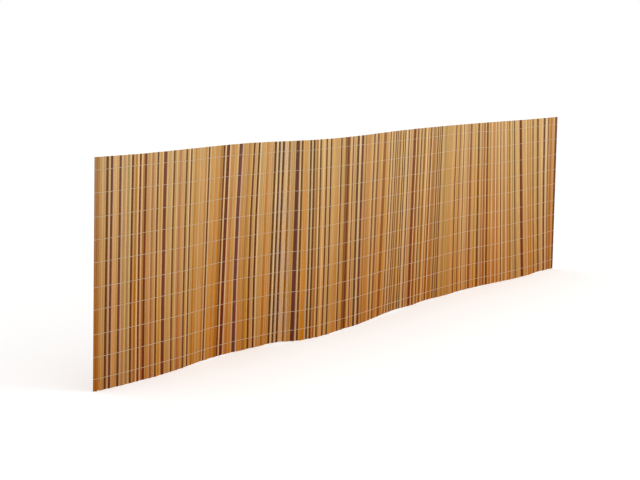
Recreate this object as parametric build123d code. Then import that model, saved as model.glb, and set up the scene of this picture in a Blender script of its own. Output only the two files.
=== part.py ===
from build123d import *
import os
from math import copysign, radians

# Privacy screen mat: a row of upright plastic slats, held side by side by level rows of stitching.
# Each slat is a flat strip with bevelled edges. The mat stands on its lower edge in gentle waves.
# X runs along it from its near end, Y points to its back and Z is up. The origin lies on the
# ground under the middle of the mat.
# Lengths are in millimetres and turns in degrees, positive to the left, which is to the back.

# Slats
MAT_HEIGHT = 1000.0
SLAT_COUNT = 370
SLAT_PITCH = 13.5
SLAT_DEPTH = 4.0
BEVEL_WIDTH = 3.5
EDGE_DEPTH = 1.2

# Open gaps between slats
SLATS_PER_GAP = 4
GAP_WIDTH = 1.0
GAP_MARGIN = 25.0

# Stitching
ROW_COUNT = 10
ROW_MARGIN = 50.0
STRAND_HEIGHT = 1.8
STRAND_DEPTH = 1.0
STRAND_CLEARANCE = 0.3

# Waves: the heading at the near end, then the slats in each bend and its turn.
# The last bend runs on to the far end.
FIRST_HEADING = -8.5
BENDS = [
    (33, 12.0),
    (30, 1.5),
    (22, -4.5),
    (26, -18.5),
    (30, 19.5),
    (37, 6.5),
    (59, -6.0),
    (74, -5.5),
    (59, 5.5),
]

MAT_LENGTH = SLAT_COUNT * SLAT_PITCH
ROW_PITCH = (MAT_HEIGHT - 2 * ROW_MARGIN) / (ROW_COUNT - 1)


def fitted_bends():
    """The length and the turn of each bend, with the last one ending with the mat."""
    fitted = []
    left = SLAT_COUNT
    for slats, turn in BENDS[:-1]:
        if left <= slats:
            break
        fitted.append((slats * SLAT_PITCH, turn))
        left -= slats
    slats, turn = BENDS[-1]
    fitted.append((left * SLAT_PITCH, turn * left / slats))
    return fitted


def plan_line(offset):
    """Tangent arcs along the mat, set off to the back of its middle line."""
    point = Vector(0, offset).rotate(Axis.Z, FIRST_HEADING)
    heading = Vector(1, 0).rotate(Axis.Z, FIRST_HEADING)
    arcs = []
    for length, turn in fitted_bends():
        radius = length / radians(abs(turn)) - offset * copysign(1, turn)
        arcs.append(JernArc(point, heading, radius, turn))
        point = arcs[-1] @ 1
        heading = arcs[-1] % 1
    return arcs


MIDDLE_LINE = Wire(plan_line(0))


def plan_place(distance):
    """The plan frame at a distance along the mat: X along it and Y to its back."""
    point = MIDDLE_LINE.position_at(distance, position_mode=PositionMode.LENGTH)
    along = MIDDLE_LINE.tangent_at(distance, position_mode=PositionMode.LENGTH)
    return Plane(point, x_dir=along, z_dir=(0, 0, 1))


def ridge_points(side):
    """The front's or the back's plan points: edge and both shoulders of each slat, and the last edge."""
    stops = []
    for slat in range(SLAT_COUNT):
        start = slat * SLAT_PITCH
        stops.append((start, EDGE_DEPTH))
        stops.append((start + BEVEL_WIDTH, SLAT_DEPTH))
        stops.append((start + SLAT_PITCH - BEVEL_WIDTH, SLAT_DEPTH))
    stops.append((MAT_LENGTH, EDGE_DEPTH))
    return [
        plan_place(distance).from_local_coords((0, side * depth / 2)) for distance, depth in stops
    ]


def slat_wall():
    """All slats side by side, joined at their edges, with an open gap after every few of them."""
    outline = Polyline(*ridge_points(-1), *reversed(ridge_points(1)), close=True)
    wall = extrude(make_face(outline), MAT_HEIGHT)
    cutter = Rectangle(GAP_WIDTH, SLAT_DEPTH)
    cuts = [
        plan_place(slat * SLAT_PITCH) * cutter
        for slat in range(SLATS_PER_GAP, SLAT_COUNT, SLATS_PER_GAP)
    ]
    gaps = extrude(Pos(0, 0, GAP_MARGIN) * Sketch(cuts), MAT_HEIGHT - 2 * GAP_MARGIN)
    return wall - gaps


def strand(side, row):
    """One strand of a stitched row, laid along the crowns on the front or the back."""
    gap_to_middle = SLAT_DEPTH / 2 + STRAND_CLEARANCE
    inner = plan_line(side * gap_to_middle)
    outer = plan_line(side * (gap_to_middle + STRAND_DEPTH))
    near = Line(inner[0] @ 0, outer[0] @ 0)
    far = Line(inner[-1] @ 1, outer[-1] @ 1)
    outline = Wire(inner + outer + [near, far])
    base = ROW_MARGIN + row * ROW_PITCH - STRAND_HEIGHT / 2
    return Pos(0, 0, base) * extrude(make_face(outline), STRAND_HEIGHT)


def mat_pieces():
    """Every piece of the mat by name, before the mat is centred."""
    pieces = {"slat_wall": slat_wall()}
    for row in range(ROW_COUNT):
        pieces[f"stitch_front_{row + 1:02d}"] = strand(-1, row)
        pieces[f"stitch_back_{row + 1:02d}"] = strand(1, row)
    return pieces


pieces = mat_pieces()
centre = Compound(list(pieces.values())).bounding_box().center()
os.makedirs("parts", exist_ok=True)
for name, piece in pieces.items():
    export_step(Pos(-centre.X, -centre.Y) * piece, f"parts/{name}.step")
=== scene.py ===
import math
import random

import bmesh
import bpy
from bpy.props import (
    EnumProperty,
    FloatProperty,
    FloatVectorProperty,
    IntProperty,
    PointerProperty,
)
from mathutils import Matrix, Vector


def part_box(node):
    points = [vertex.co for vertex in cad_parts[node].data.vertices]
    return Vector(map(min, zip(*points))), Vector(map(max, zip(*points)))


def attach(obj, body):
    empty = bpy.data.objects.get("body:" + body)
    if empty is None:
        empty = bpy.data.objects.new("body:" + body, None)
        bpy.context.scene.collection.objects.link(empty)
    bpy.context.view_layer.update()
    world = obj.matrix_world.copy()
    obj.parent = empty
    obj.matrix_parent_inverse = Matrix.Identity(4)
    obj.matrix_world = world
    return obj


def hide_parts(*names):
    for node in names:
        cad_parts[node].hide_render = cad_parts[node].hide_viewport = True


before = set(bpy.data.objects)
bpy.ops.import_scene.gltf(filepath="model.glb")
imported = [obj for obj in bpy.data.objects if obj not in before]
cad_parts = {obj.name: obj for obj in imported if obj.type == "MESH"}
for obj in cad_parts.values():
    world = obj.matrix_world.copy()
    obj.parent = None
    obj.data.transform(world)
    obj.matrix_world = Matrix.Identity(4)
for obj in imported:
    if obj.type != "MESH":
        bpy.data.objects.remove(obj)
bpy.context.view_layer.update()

bl_info = {
    "name": "Privacy Screen Mat",
    "version": (1, 0, 0),
    "blender": (4, 5, 0),
    "location": "3D View > Sidebar > Screen Mat",
    "description": "Builds the slats and the stitching of a privacy screen mat, and its studio",
    "category": "Add Mesh",
}

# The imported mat: its box before anything is dressed, and the size of its slat wall
WALL_LOW, WALL_HIGH = (Vector(corner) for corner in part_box("slat_wall"))
MAT_HEIGHT = WALL_HIGH.z - WALL_LOW.z

# The waves, as in the part: the heading at the near end, then the slats in each bend and its turn
SLAT_COUNT = 370
SLAT_PITCH = 0.0135
FIRST_HEADING = math.radians(-8.5)
BENDS = (
    (33, 12.0),
    (30, 1.5),
    (22, -4.5),
    (26, -18.5),
    (30, 19.5),
    (37, 6.5),
    (59, -6.0),
    (74, -5.5),
    (59, 5.5),
)

# How far the slats lean along the mat over its height: at a slat, the top's way towards the far end
# A measuring program worked these numbers out from the photograph
LEANS = (
    (0, 0.0),
    (5, 0.0083),
    (12, 0.0111),
    (20, 0.0105),
    (30, 0.0113),
    (42, 0.0164),
    (52, 0.0251),
    (64, 0.0401),
    (78, 0.0499),
    (87, 0.0442),
    (97, 0.0277),
    (104, 0.029),
    (112, 0.0252),
    (123, 0.0114),
    (132, 0.0123),
    (142, 0.0153),
    (160, 0.0185),
    (180, 0.044),
    (190, 0.0571),
    (197, 0.0576),
    (204, 0.0522),
    (213, 0.0389),
    (225, 0.0335),
    (238, 0.0365),
    (248, 0.0213),
    (259, -0.0015),
    (272, -0.0091),
    (284, -0.0235),
    (296, -0.0409),
    (314, -0.0684),
    (330, -0.0966),
    (344, -0.091),
    (356, -0.063),
    (370, -0.006),
)

# How far the slats bow along the mat: at a slat, both ends' way towards the far end, from its middle
# A measuring program worked these numbers out from the photograph
BOWS = (
    (0, 0.0),
    (12, 0.0005),
    (20, 0.0035),
    (30, 0.0045),
    (42, 0.0054),
    (56, 0.0047),
    (66, 0.0025),
    (76, 0.0029),
    (82, 0.0062),
    (87, 0.011),
    (96, 0.0087),
    (104, 0.0013),
    (112, 0.0002),
    (124, -0.0032),
    (133, -0.0035),
    (149, -0.0011),
    (163, 0.0032),
    (171, 0.0051),
    (179, 0.0033),
    (187, -0.0014),
    (202, -0.0031),
    (212, 0.0008),
    (226, 0.0026),
    (236, 0.0015),
    (248, 0.0034),
    (257, 0.0098),
    (265, 0.008),
    (272, 0.0055),
    (280, 0.002),
    (294, 0.002),
    (310, 0.0),
    (324, 0.0026),
    (334, 0.0041),
    (348, 0.0071),
    (358, 0.0095),
    (370, 0.0),
)

# The stitched rows, as in the part
ROW_COUNT = 10
ROW_MARGIN = 0.05

# How far each row lies above or below its even place, from the bottom up
# These follow a measuring program's readings of the photograph
ROW_RISES = (0.0057, -0.0005, -0.0023, 0.0037, -0.001, 0.006, 0.0015, -0.002, -0.0005, -0.0039)

# How far all rows wander up or down together: at a slat, the way up
# These follow a measuring program's readings of the photograph
ROW_WANDER = (
    (0, -0.002),
    (15, 0.0023),
    (32, 0.0033),
    (52, -0.0003),
    (75, 0.0007),
    (97, -0.0016),
    (112, 0.0043),
    (120, 0.003),
    (135, 0.0054),
    (153, 0.0062),
    (184, 0.001),
    (217, -0.003),
    (235, -0.0028),
    (262, 0.0012),
    (280, 0.0021),
    (306, -0.0023),
    (340, 0.0024),
    (370, 0.007),
)

# How far the slats' lower ends stay above the ground: at a slat, the way up
# These follow a measuring program's readings of the photograph
LOWER_ENDS = (
    (0, 0.0),
    (20, 0.0022),
    (32, 0.0008),
    (50, 0.0014),
    (60, 0.005),
    (80, 0.004),
    (90, 0.0005),
    (100, 0.002),
    (110, 0.0085),
    (120, 0.0),
    (130, 0.0),
    (150, 0.0055),
    (162, 0.0034),
    (190, 0.0062),
    (206, 0.0085),
    (222, 0.0018),
    (238, 0.0058),
    (254, 0.002),
    (270, 0.005),
    (302, 0.0025),
    (318, 0.0002),
    (334, 0.0),
    (346, 0.006),
    (358, 0.0033),
    (370, 0.0005),
)


def srgb(red, green, blue):
    """A colour written in 0 to 255 steps, as the linear values that a shader takes."""
    steps = (red / 255, green / 255, blue / 255)
    return tuple(s / 12.92 if s <= 0.04045 else ((s + 0.055) / 1.055) ** 2.4 for s in steps)


# The kinds of slat: their colour, and the two kinds that most often stand beside them
SLAT_KINDS = {
    "amber": (srgb(200, 136, 70), ("caramel", "gold")),
    "caramel": (srgb(182, 118, 56), ("amber", "rose")),
    "gold": (srgb(206, 149, 81), ("straw", "amber")),
    "straw": (srgb(210, 160, 98), ("gold", "rose")),
    "rose": (srgb(201, 150, 91), ("caramel", "straw")),
    "sage": (srgb(178, 134, 71), ("straw", "olive")),
    "pale": (srgb(220, 177, 123), ("straw", "straw")),
    "rust": (srgb(149, 92, 40), ("rust", "caramel")),
    "umber": (srgb(112, 61, 19), ("umber", "umber")),
    "olive": (srgb(100, 62, 25), ("olive", "olive")),
    "maroon": (srgb(110, 49, 18), ("maroon", "maroon")),
    "plum": (srgb(116, 64, 50), ("plum", "plum")),
}

# Painted light: the plastic's hue, saturation and value at the mat's foot and at its top, a painted sheen
# that pales the top and painted shade that deepens the foot
PAINTED_SHEEN_HUE = (-0.009, 0.009)
PAINTED_SHEEN_SATURATION = (1.09, 0.91)
PAINTED_SHEEN_VALUE = (0.88, 1.11)

# The middle run of a noise texture's values, which is spread over each range
NOISE_LOW = 0.3
NOISE_HIGH = 0.7

# The slat at which each field of one main kind begins
# A search program chose all but the last one against the photograph's colours
FIELDS = (
    (0, "caramel"),
    (3, "straw"),
    (10, "sage"),
    (18, "caramel"),
    (22, "amber"),
    (25, "caramel"),
    (32, "straw"),
    (44, "amber"),
    (47, "straw"),
    (54, "caramel"),
    (58, "straw"),
    (62, "amber"),
    (65, "gold"),
    (69, "caramel"),
    (80, "amber"),
    (94, "rose"),
    (100, "amber"),
    (105, "caramel"),
    (113, "gold"),
    (121, "amber"),
    (127, "rust"),
    (131, "sage"),
    (135, "rose"),
    (139, "straw"),
    (146, "rose"),
    (150, "rust"),
    (153, "straw"),
    (156, "gold"),
    (165, "rose"),
    (168, "amber"),
    (177, "gold"),
    (186, "rust"),
    (189, "straw"),
    (200, "caramel"),
    (204, "straw"),
    (210, "gold"),
    (216, "amber"),
    (221, "straw"),
    (224, "amber"),
    (227, "sage"),
    (231, "gold"),
    (239, "caramel"),
    (241, "sage"),
    (248, "straw"),
    (251, "sage"),
    (253, "straw"),
    (274, "caramel"),
    (277, "rust"),
    (280, "rose"),
    (283, "gold"),
    (289, "rust"),
    (292, "caramel"),
    (296, "amber"),
    (301, "caramel"),
    (306, "straw"),
    (311, "caramel"),
    (319, "sage"),
    (323, "straw"),
    (328, "caramel"),
    (332, "gold"),
    (335, "amber"),
    (340, "straw"),
    (351, "sage"),
    (358, "amber"),
)

# How often a slat in a field is of the main kind or of either neighbour, and how often one is light by a dark
KIND_WEIGHTS = (8, 4, 4)
LIGHT_BESIDE_DARK = 0.75

# The single slats that stand out from their field
# A search program chose some of these, and the others were set one by one from readings of the photograph
ACCENTS = {
    "olive": (5, 31, 64, 105, 107, 124, 126, 130, 137, 159, 160, 175, 193, 199, 207, 209, 213, 226, 236)
    + (285, 342, 355),
    "umber": (17, 21, 41, 49, 52, 74, 93, 109, 119, 134, 145, 155, 196, 243, 262, 308, 322, 329, 347)
    + (354, 359, 368),
    "maroon": (24, 76, 77, 96, 151, 163, 164, 219, 294, 328, 369),
    "plum": (7, 11, 35, 36, 84, 85, 116, 117),
    "rust": (112, 149, 150, 152, 167, 179, 180, 186, 187, 201, 204, 218, 220, 222, 223, 229, 230, 233)
    + (245, 266, 270, 277, 278, 286, 295, 317, 330, 348, 367),
    "pale": (6, 16, 27, 40, 43, 51, 83, 106, 108, 118, 123, 125, 129, 132, 162, 211, 221, 283, 290, 299, 303)
    + (313, 319, 321, 335, 345, 352, 356, 357),
}


def mat_bends():
    """The length and the turn of each bend, in metres and radians."""
    return [(slats * SLAT_PITCH, math.radians(turn)) for slats, turn in BENDS]


def line_place(distance):
    """The point and the heading at a distance along the mat's middle line, before it is centred."""
    x, y, heading = 0.0, 0.0, FIRST_HEADING
    bends = mat_bends()
    for number, (length, turn) in enumerate(bends):
        last = number == len(bends) - 1
        run = distance if last else min(distance, length)
        swing = turn * run / length
        chord = run * math.sin(swing / 2) / (swing / 2) if abs(swing) > 1e-9 else run
        x += chord * math.cos(heading + swing / 2)
        y += chord * math.sin(heading + swing / 2)
        heading += swing
        distance -= run
        if distance <= 0:
            break
    return x, y, heading


def line_shift():
    """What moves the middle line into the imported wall's place."""
    places = [line_place(edge * SLAT_PITCH) for edge in range(SLAT_COUNT + 1)]
    middle = (WALL_LOW + WALL_HIGH) / 2
    xs = [place[0] for place in places]
    ys = [place[1] for place in places]
    return middle.x - (min(xs) + max(xs)) / 2, middle.y - (min(ys) + max(ys)) / 2


SHIFT_X, SHIFT_Y = line_shift()


def eased(stops, distance):
    """The value at a distance along the mat, on a smooth line through the stops."""
    slat = min(max(distance / SLAT_PITCH, stops[0][0]), stops[-1][0])
    last = len(stops) - 1
    start = max(stop for stop in range(last) if stops[stop][0] <= slat)
    slopes = []
    for stop in (start, start + 1):
        (before, low), (after, high) = stops[max(stop - 1, 0)], stops[min(stop + 1, last)]
        slopes.append((high - low) / (after - before))
    (before, low), (after, high) = stops[start], stops[start + 1]
    run = after - before
    share = (slat - before) / run
    rest = 1 - share
    return (
        low * rest**2 * (1 + 2 * share)
        + high * share**2 * (1 + 2 * rest)
        + run * share * rest * (slopes[0] * rest - slopes[1] * share)
    )


def mat_point(distance, height, offset=0.0):
    """The point a distance along the bent slats at a height and an offset to the back, and its heading."""
    share = (height - (WALL_LOW.z + WALL_HIGH.z) / 2) / MAT_HEIGHT
    bent = eased(LEANS, distance) * share + eased(BOWS, distance) * 4 * share**2
    x, y, heading = line_place(distance + bent)
    x += SHIFT_X - offset * math.sin(heading)
    y += SHIFT_Y + offset * math.cos(heading)
    return Vector((x, y, height)), heading


def row_heights():
    """The height of each stitched row, from the bottom up."""
    step = (MAT_HEIGHT - 2 * ROW_MARGIN) / (ROW_COUNT - 1)
    return [WALL_LOW.z + ROW_MARGIN + row * step + rise for row, rise in enumerate(ROW_RISES)]


def slat_draft(seed):
    """The kind of each slat along the mat: accents, their pale neighbours, and seeded picks in the fields."""
    accents = {slat: kind for kind, slats in ACCENTS.items() for slat in slats}
    draft = []
    field = 0
    for slat in range(SLAT_COUNT):
        while field + 1 < len(FIELDS) and FIELDS[field + 1][0] <= slat:
            field += 1
        main = FIELDS[field][1]
        near, far = SLAT_KINDS[main][1]
        draw = random.Random(f"{seed} {slat}")
        kind = draw.choices((main, near, far), weights=KIND_WEIGHTS)[0]
        beside_dark = any(accents.get(slat + side, "pale") != "pale" for side in (-1, 1))
        if beside_dark and draw.random() < LIGHT_BESIDE_DARK:
            kind = draw.choice(("straw", "straw", "pale"))
        draft.append(accents.get(slat, kind))
    return draft


class MatSizes(bpy.types.PropertyGroup):
    """Sizes of the slats and the stitching."""

    slat_width: FloatProperty(
        name="Slat width",
        description="Width of one slat from edge to edge",
        default=0.01347,
        min=0.001,
        subtype="DISTANCE",
        unit="LENGTH",
    )
    slat_depth: FloatProperty(
        name="Slat depth",
        description="Thickness of one slat at its crown",
        default=0.004,
        min=0.0005,
        subtype="DISTANCE",
        unit="LENGTH",
    )
    end_rounding: FloatProperty(
        name="End rounding",
        description="Rounding of a slat's cut ends",
        default=0.0005,
        min=0.0,
        subtype="DISTANCE",
        unit="LENGTH",
    )
    end_play: FloatProperty(
        name="End play",
        description="The most by which a slat is cut shorter at its lower end than its neighbours",
        default=0.0024,
        min=0.0,
        subtype="DISTANCE",
        unit="LENGTH",
    )
    slat_twist: FloatProperty(
        name="Slat twist",
        description="The most by which a slat is turned out of the mat's face",
        default=math.radians(2.5),
        min=0.0,
        subtype="ANGLE",
        unit="ROTATION",
    )
    cord_diameter: FloatProperty(
        name="Cord diameter",
        description="Diameter of the stitching cord",
        default=0.0016,
        min=0.0002,
        subtype="DISTANCE",
        unit="LENGTH",
    )
    draft_seed: IntProperty(
        name="Draft",
        description="Number that sets which slat colours are drawn inside each field",
        default=11,
        min=0,
    )


def colour_property(kind):
    """A colour setting for one kind of slat."""
    return FloatVectorProperty(
        name=f"{kind.capitalize()} slats",
        description=f"Colour of the {kind} slats",
        default=SLAT_KINDS[kind][0],
        min=0.0,
        max=1.0,
        size=3,
        subtype="COLOR",
    )


class MatColours(bpy.types.PropertyGroup):
    """Colours of the slats, the cord and the floor."""

    amber: colour_property("amber")
    caramel: colour_property("caramel")
    gold: colour_property("gold")
    straw: colour_property("straw")
    rose: colour_property("rose")
    sage: colour_property("sage")
    pale: colour_property("pale")
    rust: colour_property("rust")
    umber: colour_property("umber")
    olive: colour_property("olive")
    maroon: colour_property("maroon")
    plum: colour_property("plum")
    cord: FloatVectorProperty(
        name="Cord",
        description="Colour of the stitching cord",
        default=srgb(244, 224, 194),
        min=0.0,
        max=1.0,
        size=3,
        subtype="COLOR",
    )
    floor: FloatVectorProperty(
        name="Floor",
        description="Colour of the studio floor",
        default=srgb(240, 240, 240),
        min=0.0,
        max=1.0,
        size=3,
        subtype="COLOR",
    )


def add_piece(name, mesh, material, nodes):
    """Puts a finished mesh into the scene as a piece that stands for CAD nodes."""
    piece = bpy.data.objects.new(name, mesh)
    bpy.context.scene.collection.objects.link(piece)
    mesh.materials.append(material)
    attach(piece, "root")
    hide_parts(*nodes)
    return piece


def node_material(name):
    """A new material with its node tree, its shader and a function that adds linked nodes."""
    material = bpy.data.materials.new(name)
    material.use_nodes = True
    tree = material.node_tree
    shader = tree.nodes["Principled BSDF"]

    def add(kind, settings=None, **links):
        node = tree.nodes.new(kind)
        for key, value in (settings or {}).items():
            setattr(node, key, value)
        for socket, source in links.items():
            connect(node.inputs[socket.replace("_", " ")], source)
        return node

    def connect(socket, source):
        if isinstance(source, bpy.types.NodeSocket):
            tree.links.new(source, socket)
        else:
            socket.default_value = source

    return material, shader, add, connect


def spread(add, noise, low, high):
    """A noise texture's values, spread from low to high."""
    return add(
        "ShaderNodeMapRange",
        Value=noise.outputs["Fac"],
        From_Min=NOISE_LOW,
        From_Max=NOISE_HIGH,
        To_Min=low,
        To_Max=high,
    )


def slat_material(kind, colour):
    """Extruded plastic in one colour, with drawn streaks, a little shade from slat to slat, soft gloss, and a
    painted sheen that is paler at the top with painted shade that is deeper at the foot.
    """
    material, shader, add, connect = node_material(f"{kind}_slats")
    place = add("ShaderNodeTexCoord")
    own = add("ShaderNodeAttribute", {"attribute_name": "slat_draw"})
    shades = add("ShaderNodeSeparateXYZ", Vector=own.outputs["Vector"])
    apart = add("ShaderNodeVectorMath", {"operation": "ADD"})
    connect(apart.inputs[0], place.outputs["Object"])
    connect(apart.inputs[1], own.outputs["Vector"])

    drawn = add("ShaderNodeMapping", Vector=apart.outputs["Vector"], Scale=(420.0, 420.0, 3.0))
    streaks = add("ShaderNodeTexNoise", Vector=drawn.outputs["Vector"], Scale=1.0, Detail=3.0, Roughness=0.6)
    cloudy = add("ShaderNodeMapping", Vector=apart.outputs["Vector"], Scale=(9.0, 9.0, 4.0))
    clouds = add("ShaderNodeTexNoise", Vector=cloudy.outputs["Vector"], Scale=1.0, Detail=2.0)

    streak_value = spread(add, streaks, 0.84, 1.14)
    cloud_value = spread(add, clouds, 0.94, 1.06)
    slat_value = add("ShaderNodeMapRange", Value=shades.outputs["X"], To_Min=0.85, To_Max=1.15)
    slat_hue = add("ShaderNodeMapRange", Value=shades.outputs["Y"], To_Min=0.493, To_Max=0.507)
    slat_saturation = add("ShaderNodeMapRange", Value=shades.outputs["Z"], To_Min=0.93, To_Max=1.07)

    def by_height(at_foot, at_top):
        height = add("ShaderNodeSeparateXYZ", Vector=place.outputs["Object"])
        return add(
            "ShaderNodeMapRange",
            Value=height.outputs["Z"],
            From_Max=MAT_HEIGHT,
            To_Min=at_foot,
            To_Max=at_top,
        )

    def joined(operation, first, *others):
        for other in others:
            node = add("ShaderNodeMath", {"operation": operation})
            connect(node.inputs[0], first)
            connect(node.inputs[1], other.outputs["Result"])
            first = node.outputs["Value"]
        return first

    # Painted light: hue, saturation and value run from the foot to the top, painted shade deepening the foot
    # and a painted sheen paling the top
    tinted = add(
        "ShaderNodeHueSaturation",
        Hue=joined("ADD", slat_hue.outputs["Result"], by_height(*PAINTED_SHEEN_HUE)),
        Saturation=joined("MULTIPLY", slat_saturation.outputs["Result"], by_height(*PAINTED_SHEEN_SATURATION)),
        Value=joined(
            "MULTIPLY", slat_value.outputs["Result"], streak_value, cloud_value, by_height(*PAINTED_SHEEN_VALUE)
        ),
        Color=(*colour, 1.0),
    )
    connect(shader.inputs["Base Color"], tinted.outputs["Color"])

    gloss = spread(add, streaks, 0.46, 0.62)
    connect(shader.inputs["Roughness"], gloss.outputs["Result"])
    shader.inputs["Specular IOR Level"].default_value = 0.06
    relief = add("ShaderNodeBump", Height=streaks.outputs["Fac"], Strength=0.25, Distance=0.0002)
    connect(shader.inputs["Normal"], relief.outputs["Normal"])
    return material


def cord_material(colour):
    """Twisted pale cord: fine slanting strands, a little soiled here and there."""
    material, shader, add, connect = node_material("stitching_cord")
    place = add("ShaderNodeTexCoord")
    twist = add("ShaderNodeMapping", Vector=place.outputs["Object"], Rotation=(0.0, math.radians(38.0), 0.0))
    strands = add(
        "ShaderNodeTexWave",
        {"wave_type": "BANDS", "bands_direction": "X"},
        Vector=twist.outputs["Vector"],
        Scale=320.0,
        Distortion=0.6,
    )
    soil = add("ShaderNodeTexNoise", Vector=place.outputs["Object"], Scale=14.0, Detail=3.0)
    strand_value = add("ShaderNodeMapRange", Value=strands.outputs["Fac"], To_Min=0.82, To_Max=1.0)
    soil_value = spread(add, soil, 0.9, 1.0)
    value = add("ShaderNodeMath", {"operation": "MULTIPLY"})
    connect(value.inputs[0], strand_value.outputs["Result"])
    connect(value.inputs[1], soil_value.outputs["Result"])
    tinted = add("ShaderNodeHueSaturation", Value=value.outputs["Value"], Color=(*colour, 1.0))
    connect(shader.inputs["Base Color"], tinted.outputs["Color"])
    shader.inputs["Roughness"].default_value = 0.75
    relief = add("ShaderNodeBump", Height=strands.outputs["Fac"], Strength=0.5, Distance=0.0002)
    connect(shader.inputs["Normal"], relief.outputs["Normal"])
    return material


class SCREENMAT_OT_slats(bpy.types.Operator):
    """Build every slat, one mesh for each colour of plastic"""

    bl_idname = "screen_mat.slats"
    bl_label = "Slats"
    bl_options = {"UNDO"}

    PROFILE_SIDES = 12
    BENT_PARTS = 3
    LEVEL_DIGITS = 4

    def execute(self, context):
        sizes = context.scene.mat_sizes
        colours = context.scene.mat_colours
        draft = slat_draft(sizes.draft_seed)
        pattern = self.pattern_slat(sizes)
        for kind in SLAT_KINDS:
            slats = [slat for slat, drawn in enumerate(draft) if drawn == kind]
            mesh = self.slat_mesh(kind, slats, pattern, sizes)
            material = slat_material(kind, tuple(getattr(colours, kind)))
            add_piece(f"slats_{kind}", mesh, material, ("slat_wall",))
        bpy.data.meshes.remove(pattern)
        return {"FINISHED"}

    def pattern_slat(self, sizes):
        """A flattened tube as high as the mat, with its cut ends rounded, that every slat repeats."""
        shape = bmesh.new()
        bmesh.ops.create_cone(
            shape,
            cap_ends=True,
            segments=self.PROFILE_SIDES,
            radius1=1.0,
            radius2=1.0,
            depth=1.0,
            matrix=Matrix.Diagonal((sizes.slat_width / 2, sizes.slat_depth / 2, MAT_HEIGHT, 1.0)),
        )
        for part in range(1, self.BENT_PARTS):
            bmesh.ops.bisect_plane(
                shape,
                geom=[*shape.verts, *shape.edges, *shape.faces],
                plane_co=(0.0, 0.0, MAT_HEIGHT * (part / self.BENT_PARTS - 0.5)),
                plane_no=(0.0, 0.0, 1.0),
            )
        ends = [face for face in shape.faces if abs(face.normal.z) > 0.5]
        bmesh.ops.bevel(
            shape,
            geom=list({edge for face in ends for edge in face.edges}),
            offset=sizes.end_rounding,
            affect="EDGES",
            segments=1,
            profile=0.5,
            material=-1,
        )
        for face in shape.faces:
            face.smooth = abs(face.normal.z) < 0.1
        for edge in shape.edges:
            edge.smooth = all(face.smooth for face in edge.link_faces)
        pattern = bpy.data.meshes.new("pattern_slat")
        shape.to_mesh(pattern)
        shape.free()
        return pattern

    def slat_mesh(self, kind, slats, pattern, sizes):
        """One mesh of all slats of a kind, each with its own small play and its own draw of shades."""
        if not slats:
            raise RuntimeError(f"no slat is {kind}")
        shape = bmesh.new()
        drawn = shape.verts.layers.float_vector.new("slat_draw")
        heights = [round(vert.co.z, self.LEVEL_DIGITS) for vert in pattern.vertices]
        levels = sorted(set(heights))
        rings = [[index for index, height in enumerate(heights) if height == level] for level in levels]
        for slat in slats:
            draw = random.Random(slat)
            middle = (slat + 0.5) * SLAT_PITCH
            raised = max(eased(LOWER_ENDS, middle), 0.0)
            low = WALL_LOW.z + raised + draw.uniform(0.0, sizes.end_play)
            high = WALL_HIGH.z - draw.uniform(0.0, sizes.end_play / 2)
            twist = draw.uniform(-sizes.slat_twist, sizes.slat_twist)
            before = len(shape.verts)
            shape.from_mesh(pattern)
            shape.verts.ensure_lookup_table()
            added = shape.verts[before:]
            for level, ring in zip(levels, rings):
                height = low + (level / MAT_HEIGHT + 0.5) * (high - low)
                centre, heading = mat_point(middle, height)
                near, far = (mat_point(middle + side * SLAT_PITCH / 2, height)[0] for side in (-1, 1))
                fitted = Matrix.Diagonal(((far - near).length / SLAT_PITCH, 1.0, 1.0, 1.0))
                place = Matrix.Translation(centre) @ Matrix.Rotation(heading + twist, 4, "Z") @ fitted
                flat = Matrix.Translation((0.0, 0.0, -level))
                bmesh.ops.transform(shape, matrix=place @ flat, verts=[added[index] for index in ring])
            own = Vector((draw.random(), draw.random(), draw.random()))
            for vert in added:
                vert[drawn] = own
        mesh = bpy.data.meshes.new(f"slats_{kind}")
        shape.to_mesh(mesh)
        shape.free()
        return mesh


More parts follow.
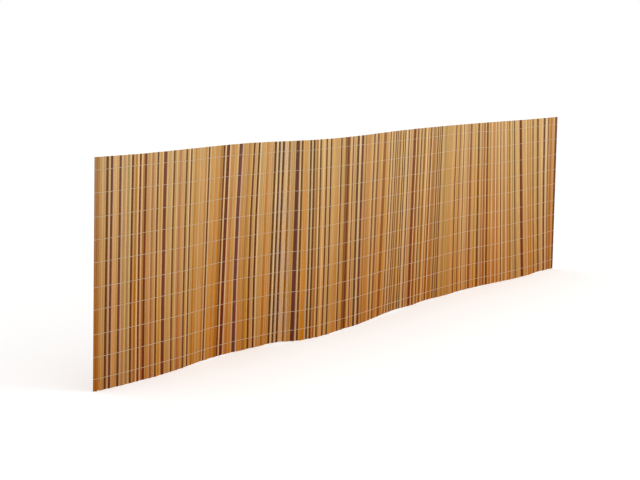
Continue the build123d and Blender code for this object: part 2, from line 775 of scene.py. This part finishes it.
class SCREENMAT_OT_stitching(bpy.types.Operator):
    """Build the rows of stitching on one face of the mat, a cord for each row"""

    bl_idname = "screen_mat.stitching"
    bl_label = "Stitching"
    bl_options = {"UNDO"}

    face: EnumProperty(
        name="Face",
        description="The face of the mat that the cords lie on",
        items=(("front", "Front", "The face towards the viewer"), ("back", "Back", "The other face")),
        default="front",
    )

    STOPS_A_SLAT = 4
    DIP_SHARE = 0.55
    WANDER = 0.0006

    def execute(self, context):
        sizes = context.scene.mat_sizes
        material = bpy.data.materials.get("stitching_cord")
        if material is None:
            material = cord_material(tuple(context.scene.mat_colours.cord))
        for row, height in enumerate(row_heights()):
            node = f"stitch_{self.face}_{row + 1:02d}"
            mesh = self.cord_mesh(f"cord_{self.face}_{row + 1:02d}", height, sizes)
            add_piece(mesh.name, mesh, material, (node,))
        return {"FINISHED"}

    def cord_stops(self, height, sizes):
        """Points along one cord: round the end edges, over each slat's crown and down into each gap."""
        side = -1.0 if self.face == "front" else 1.0
        radius = sizes.cord_diameter / 2
        crown = sizes.slat_depth / 2 + radius
        draw = random.Random(f"{self.face} {height:.3f}")
        steps = SLAT_COUNT * self.STOPS_A_SLAT
        stops = []
        for step in range(steps + 1):
            offset, rise, beyond = crown, eased(ROW_WANDER, step / self.STOPS_A_SLAT * SLAT_PITCH), 0.0
            if step % self.STOPS_A_SLAT == 0:
                offset = crown * (1.0 - self.DIP_SHARE)
                rise += draw.uniform(-self.WANDER, self.WANDER)
            if step in (0, steps):
                offset, beyond = 0.0, math.copysign(radius, step - 1)
            place = step / self.STOPS_A_SLAT * SLAT_PITCH + beyond
            stops.append(mat_point(place, height + rise, side * offset)[0])
        return stops

    def cord_mesh(self, name, height, sizes):
        """The cord as a bevelled curve through its stops, made a mesh."""
        line = bpy.data.curves.new(name, "CURVE")
        line.dimensions = "3D"
        line.bevel_depth = sizes.cord_diameter / 2
        line.bevel_resolution = 1
        line.use_fill_caps = True
        stops = self.cord_stops(height, sizes)
        spline = line.splines.new("POLY")
        spline.points.add(len(stops) - 1)
        for point, stop in zip(spline.points, stops):
            point.co = (*stop, 1.0)
        laid = bpy.data.objects.new(f"{name}_line", line)
        bpy.context.scene.collection.objects.link(laid)
        graph = bpy.context.evaluated_depsgraph_get()
        mesh = bpy.data.meshes.new_from_object(laid.evaluated_get(graph))
        bpy.data.objects.remove(laid)
        bpy.data.curves.remove(line)
        mesh.name = name
        mesh.shade_smooth()
        return mesh


class SCREENMAT_OT_studio(bpy.types.Operator):
    """Build the floor, the lights and the camera"""

    bl_idname = "screen_mat.studio"
    bl_label = "Studio"
    bl_options = {"UNDO"}

    CAMERA_PLACE = (-8.5872, -4.5851, 1.5756)
    CAMERA_HEADING = math.radians(29.9654)
    CAMERA_PITCH = math.radians(6.8024)
    CAMERA_ROLL = math.radians(1.218)
    FOCAL_PIXELS = 1820.2
    IMAGE_WIDTH = 640.0
    SENSOR_WIDTH = 36.0
    FLOOR_SIZE = 400.0
    SKY_STRENGTH = 0.75
    LAMP_PLACE = (1.5, -8.5, 3.3)
    LAMP_TARGET = (0.0, 0.0, 0.5)
    LAMP_SIZE = 4.0
    LAMP_POWER = 194.0
    FLOOR_GLOW = 0.38
    VIEW_DEPTH = 200.0

    def execute(self, context):
        scene = context.scene
        scene.view_settings.view_transform = "Standard"
        self.floor(scene)
        self.world(scene)
        self.lamp(scene)
        self.camera(scene)
        return {"FINISHED"}

    def floor(self, scene):
        """A pale floor that keeps the mat's shadow and is seen as white where no shadow falls."""
        shape = bmesh.new()
        bmesh.ops.create_grid(shape, x_segments=1, y_segments=1, size=self.FLOOR_SIZE / 2)
        mesh = bpy.data.meshes.new("floor")
        shape.to_mesh(mesh)
        shape.free()
        material, shader, add, connect = node_material("floor")
        shader.inputs["Base Color"].default_value = (*scene.mat_colours.floor, 1.0)
        shader.inputs["Roughness"].default_value = 0.9
        shader.inputs["Specular IOR Level"].default_value = 0.0
        shader.inputs["Emission Color"].default_value = (1.0, 1.0, 1.0, 1.0)
        seen = self.seen_rays(material.node_tree)
        glow = add("ShaderNodeMapRange", Value=seen, To_Min=0.0, To_Max=self.FLOOR_GLOW)
        connect(shader.inputs["Emission Strength"], glow.outputs["Result"])
        mesh.materials.append(material)
        floor = bpy.data.objects.new("floor", mesh)
        scene.collection.objects.link(floor)

    def seen_rays(self, tree):
        """One for rays that the camera, a reflection or clear plastic sees, and nought for light."""
        ray = tree.nodes.new("ShaderNodeLightPath")
        seen = ray.outputs["Is Camera Ray"]
        for kind in ("Is Glossy Ray", "Is Transmission Ray"):
            either = tree.nodes.new("ShaderNodeMath")
            either.operation = "MAXIMUM"
            tree.links.new(seen, either.inputs[0])
            tree.links.new(ray.outputs[kind], either.inputs[1])
            seen = either.outputs["Value"]
        return seen

    def world(self, scene):
        """Even pale light from all round, seen as white by the camera and in reflections."""
        world = bpy.data.worlds.new("studio")
        world.use_nodes = True
        scene.world = world
        tree = world.node_tree
        back = tree.nodes["Background"]
        back.inputs["Color"].default_value = (1.0, 1.0, 1.0, 1.0)
        strength = tree.nodes.new("ShaderNodeMapRange")
        strength.inputs["To Min"].default_value = self.SKY_STRENGTH
        strength.inputs["To Max"].default_value = 1.0
        tree.links.new(self.seen_rays(tree), strength.inputs["Value"])
        tree.links.new(strength.outputs["Result"], back.inputs["Strength"])

    def lamp(self, scene):
        """One wide soft lamp in front of the mat, towards its far end."""
        light = bpy.data.lights.new("soft_lamp", "AREA")
        light.size = self.LAMP_SIZE
        light.energy = self.LAMP_POWER
        lamp = bpy.data.objects.new("soft_lamp", light)
        aim = Vector(self.LAMP_TARGET) - Vector(self.LAMP_PLACE)
        turn = aim.to_track_quat("-Z", "Y").to_matrix().to_4x4()
        lamp.matrix_world = Matrix.Translation(self.LAMP_PLACE) @ turn
        scene.collection.objects.link(lamp)

    def camera(self, scene):
        """The photograph's view, from in front of the near end."""
        lens = bpy.data.cameras.new("camera")
        lens.sensor_width = self.SENSOR_WIDTH
        lens.lens = self.FOCAL_PIXELS / self.IMAGE_WIDTH * self.SENSOR_WIDTH
        lens.clip_end = self.VIEW_DEPTH
        camera = bpy.data.objects.new("camera", lens)
        aim = Matrix.Rotation(self.CAMERA_HEADING - math.radians(90.0), 4, "Z")
        tip = Matrix.Rotation(math.radians(90.0) - self.CAMERA_PITCH, 4, "X")
        roll = Matrix.Rotation(self.CAMERA_ROLL, 4, "Z")
        camera.matrix_world = Matrix.Translation(self.CAMERA_PLACE) @ aim @ tip @ roll
        scene.collection.objects.link(camera)
        scene.camera = camera


class SCREENMAT_PT_panel(bpy.types.Panel):
    """The mat's pieces and settings in the sidebar"""

    bl_idname = "SCREENMAT_PT_panel"
    bl_label = "Screen Mat"
    bl_space_type = "VIEW_3D"
    bl_region_type = "UI"
    bl_category = "Screen Mat"

    def draw(self, context):
        layout = self.layout
        for settings in (context.scene.mat_sizes, context.scene.mat_colours):
            for name in settings.bl_rna.properties.keys():
                if name not in {"rna_type", "name"}:
                    layout.prop(settings, name)
        layout.operator("screen_mat.slats")
        for face in ("front", "back"):
            layout.operator("screen_mat.stitching", text=f"Stitching, {face}").face = face
        layout.operator("screen_mat.studio")


CLASSES = (
    MatSizes,
    MatColours,
    SCREENMAT_OT_slats,
    SCREENMAT_OT_stitching,
    SCREENMAT_OT_studio,
    SCREENMAT_PT_panel,
)


def register():
    """Adds the classes and the mat's settings."""
    for item in CLASSES:
        bpy.utils.register_class(item)
    bpy.types.Scene.mat_sizes = PointerProperty(type=MatSizes)
    bpy.types.Scene.mat_colours = PointerProperty(type=MatColours)


def unregister():
    """Takes the mat's settings and the classes away again."""
    del bpy.types.Scene.mat_colours
    del bpy.types.Scene.mat_sizes
    for item in reversed(CLASSES):
        bpy.utils.unregister_class(item)


def main():
    """Builds the whole scene."""
    register()
    bpy.ops.screen_mat.slats()
    bpy.ops.screen_mat.stitching(face="front")
    bpy.ops.screen_mat.stitching(face="back")
    bpy.ops.screen_mat.studio()
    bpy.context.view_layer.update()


if __name__ == "__main__":
    main()
